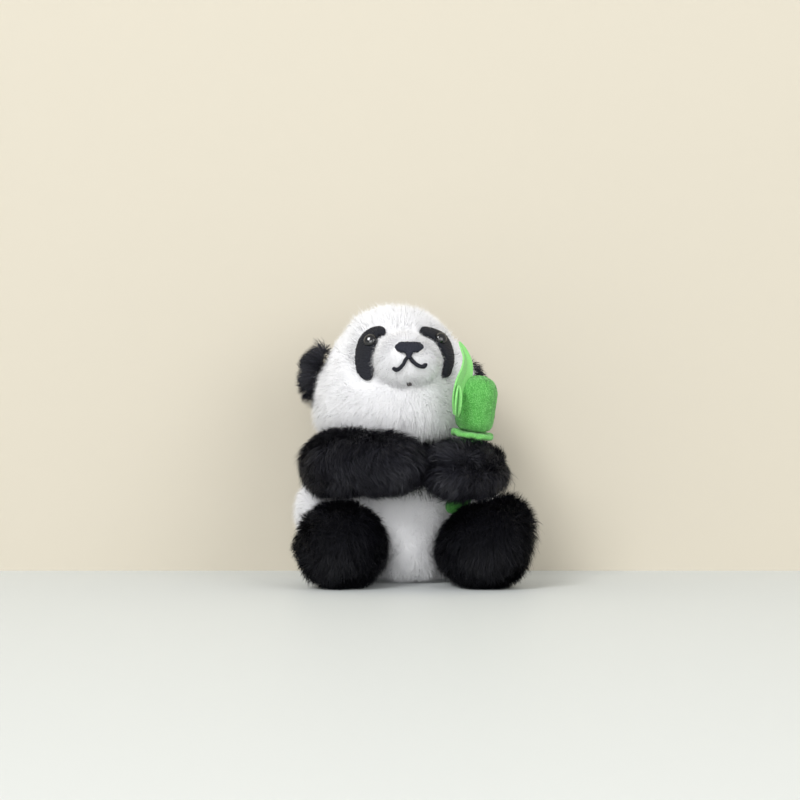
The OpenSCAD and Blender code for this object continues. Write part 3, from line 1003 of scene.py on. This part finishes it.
def muzzle_length(at, n):
    """Short on the muzzle's front and beside its stitching, long where it meets the head."""
    deep = (np.array([*muzzle_mid]) + face_way * 6 * MM - at) @ face_way / MM
    free = 0.6 + 0.4 * smooth_step(0, 1.5, beside(at, muzzle_strokes))
    return (1 + 1.1 * smooth_step(0, 11, deep)) * free


pile("muzzle_fur", muzzle, "head", "muzzle_plush", muzzle_hair, muzzle_comb, 3.2, lift=60, per_mm2=18.0,
     width_mm=0.14, segments=2, seed=41, tuft_mm=1.6, gather=0.1, stray=0.8, droop=0.0, soft=0.75,
     keep=muzzle_keep, shape=muzzle_length)

# ------------------------------------------------------------------ bamboo
slide = next(j for j in frame["joints"] if j["name"] == "bamboo_slide")
axis = Vector(slide["axis"]).normalized()
ring_mid = centre("bamboo_ring")


def unroll(obj):
    """Gives a piece on the stick its own map: round the stick and along it, in millimetres."""
    mesh = obj.data
    x = axis.cross(Vector((0, 1, 0))).normalized()
    y = axis.cross(x)
    layer = mesh.uv_layers.new(name="cloth")
    co = points_of(mesh) - np.array([*ring_mid])
    across, ahead, high = (co @ np.array([*v]) for v in (x, y, axis))
    turn = np.arctan2(ahead, across)
    radius = np.percentile(np.hypot(across, ahead), 90)
    for poly in mesh.polygons:
        first = turn[poly.vertices[0]]
        for i in poly.loop_indices:
            v = mesh.loops[i].vertex_index
            a = turn[v]
            a += 2 * math.pi * round((first - a) / (2 * math.pi))
            layer.data[i].uv = (a * radius / MM, high[v] / MM)


# Each knit's first colour is the yarn's own. Its second is the painted highlight on the loop tops, and its third
# the painted shade in the hollows.
green_knit = knit("bamboo_knit", (0.13, 0.46, 0.1), (0.24, 0.64, 0.2), (0.06, 0.3, 0.045), 0.9, 0.75, 0.9)
green_loops = strand_materials(
    "bamboo_loops", [(0.14, 0.48, 0.11), (0.18, 0.55, 0.145), (0.23, 0.62, 0.19)], 0.8, 0.2, 0.2)
ring_knit = knit("ring_knit", (0.22, 0.6, 0.17), (0.32, 0.72, 0.26), (0.13, 0.46, 0.09), 0.6, 0.5, 0.6)
leaf_felt = knit("leaf_felt", (0.26, 0.66, 0.2), (0.36, 0.76, 0.3), (0.2, 0.56, 0.15), 0.35, 0.35, 0.35)

upper = skin("bamboo_upper_skin", ["bamboo_upper_cover"], "bamboo", green_knit, voxel_mm=1.6,
             depth_mm=0.5, swell_mm=0.9, extra=("bamboo_stuffing",))
lower = skin("bamboo_lower_skin", ["bamboo_lower_cover"], "bamboo", green_knit, voxel_mm=1.6,
             depth_mm=0.4, swell_mm=0.6)
collar = skin("bamboo_collar", ["bamboo_ring"], "bamboo", ring_knit, voxel_mm=1.0, depth_mm=0.1,
              swell_mm=0.4, relaxed=2)
# The lower segment's soft end sags to the left, clear of the leg.
co = points_of(lower.data)
sag = smooth_step(13 * MM, 0, co[:, 2] - co[:, 2].min())[:, None]
put_points(lower.data, co + sag ** 2 * np.array([-3.6, 0.4, -3.0]) * MM)
# The ring is a frilled skirt.
co = points_of(collar.data)
across, ahead = co[:, 0] - ring_mid.x, co[:, 1] - ring_mid.y
turn = np.arctan2(ahead, across)
edge = smooth_step(5 * MM, 11 * MM, np.hypot(ahead, across))
co[:, 2] += edge * (0.35 * np.sin(7 * turn + 1) + 0.25 * np.sin(11 * turn)) * MM
put_points(collar.data, co)
for piece, fill in ((upper, 0.8), (lower, 0.8), (collar, 0.5)):
    unroll(piece)


def loop_comb(at, n):
    return drift(at, 51, 3) + np.array([*axis]) * 0.3


loops = dict(lift=58, per_mm2=14.0, width_mm=0.2, segments=2, tuft_mm=0.9, gather=0.35, stray=0.8, droop=0.0,
             soft=0.55)
pile("bamboo_upper_loops", upper, "bamboo", "bamboo_knit", green_loops, loop_comb, 0.95, seed=52, **loops)
pile("bamboo_lower_loops", lower, "bamboo", "bamboo_knit", green_loops, loop_comb, 1.0, seed=53, **loops)
pile("bamboo_collar_loops", collar, "bamboo", "bamboo_knit", green_loops[1:], loop_comb, 0.8, seed=54, **loops)


def leaf(name, node, rows, width_mm, fold_deg, face):
    """A felt leaf: one sheet folded along its midrib, whose points are given in millimetres from
    the middle of its node. face is the way that its upper side looks."""
    p = np.round(np.array(rows, float) + middle_mm(node), 1)
    count = 40
    run = np.concatenate([[0], np.cumsum(np.linalg.norm(np.diff(p, axis=0), axis=1))])
    even = np.linspace(0, run[-1], count)
    mid = smooth_path(p[:, [0, 2, 1]], count)[0][:, [0, 2, 1]]
    way = unit(np.gradient(mid, axis=0))
    out = unit(np.cross(way, np.array(face, float)))
    lift = unit(np.cross(out, way))
    bm = bmesh.new()
    uv = bm.loops.layers.uv.new("cloth")
    cols = np.linspace(-1, 1, 13)
    fold = math.radians(fold_deg)
    grid, halves = [], []
    for i in range(count):
        t = i / (count - 1)
        half = width_mm / 2 * max(0.03, math.sin(math.pi * min(1, 0.12 + 0.88 * t)) ** 0.75)
        halves.append(half)
        row = []
        for u in cols:
            rise = abs(u) * math.sin(fold) + 0.05 * math.sin(5 * t + 3 * u)
            place = mid[i] + out[i] * half * u * math.cos(fold) + lift[i] * half * rise
            row.append(bm.verts.new(Vector(place) * MM))
        grid.append(row)
    for i in range(count - 1):
        for j in range(len(cols) - 1):
            corners = ((i, j), (i, j + 1), (i + 1, j + 1), (i + 1, j))
            quad = bm.faces.new([grid[r][c] for r, c in corners])
            quad.smooth = True
            for loop, (r, c) in zip(quad.loops, corners):
                loop[uv].uv = (cols[c] * width_mm / 2, even[r])
    mesh = bpy.data.meshes.new(name)
    bm.to_mesh(mesh)
    bm.free()
    obj = link(name, mesh, leaf_felt)
    thick = obj.modifiers.new("felt", "SOLIDIFY")
    thick.thickness, thick.offset = 0.8 * MM, 0
    settle(obj)
    edge = obj.modifiers.new("edge", "BEVEL")
    edge.width, edge.segments, edge.limit_method = 0.2 * MM, 2, "ANGLE"
    settle(obj)
    obj.data.shade_smooth()
    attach(obj, "bamboo")
    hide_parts(node)


long_midrib = [
    (-1.8, -3, -17), (-1.4, -3.5, -10), (0.2, -3, -3), (2.6, -0.5, 3), (3.4, 2.5, 9), (2.2, 5, 14),
    (0.2, 6.5, 19)]
short_midrib = [
    (0.4, 2.5, -6.6), (0.6, 1.8, -3), (0.9, 1.6, 1), (1.2, 2, 5), (1.5, 3, 8.2)]
leaf("leaf_long_felt", "leaf_long", long_midrib, 11, 14, (0.8, -0.6, 0))
leaf("leaf_short_felt", "leaf_short", short_midrib, 10.2, 74, (0.1, -1, 0))
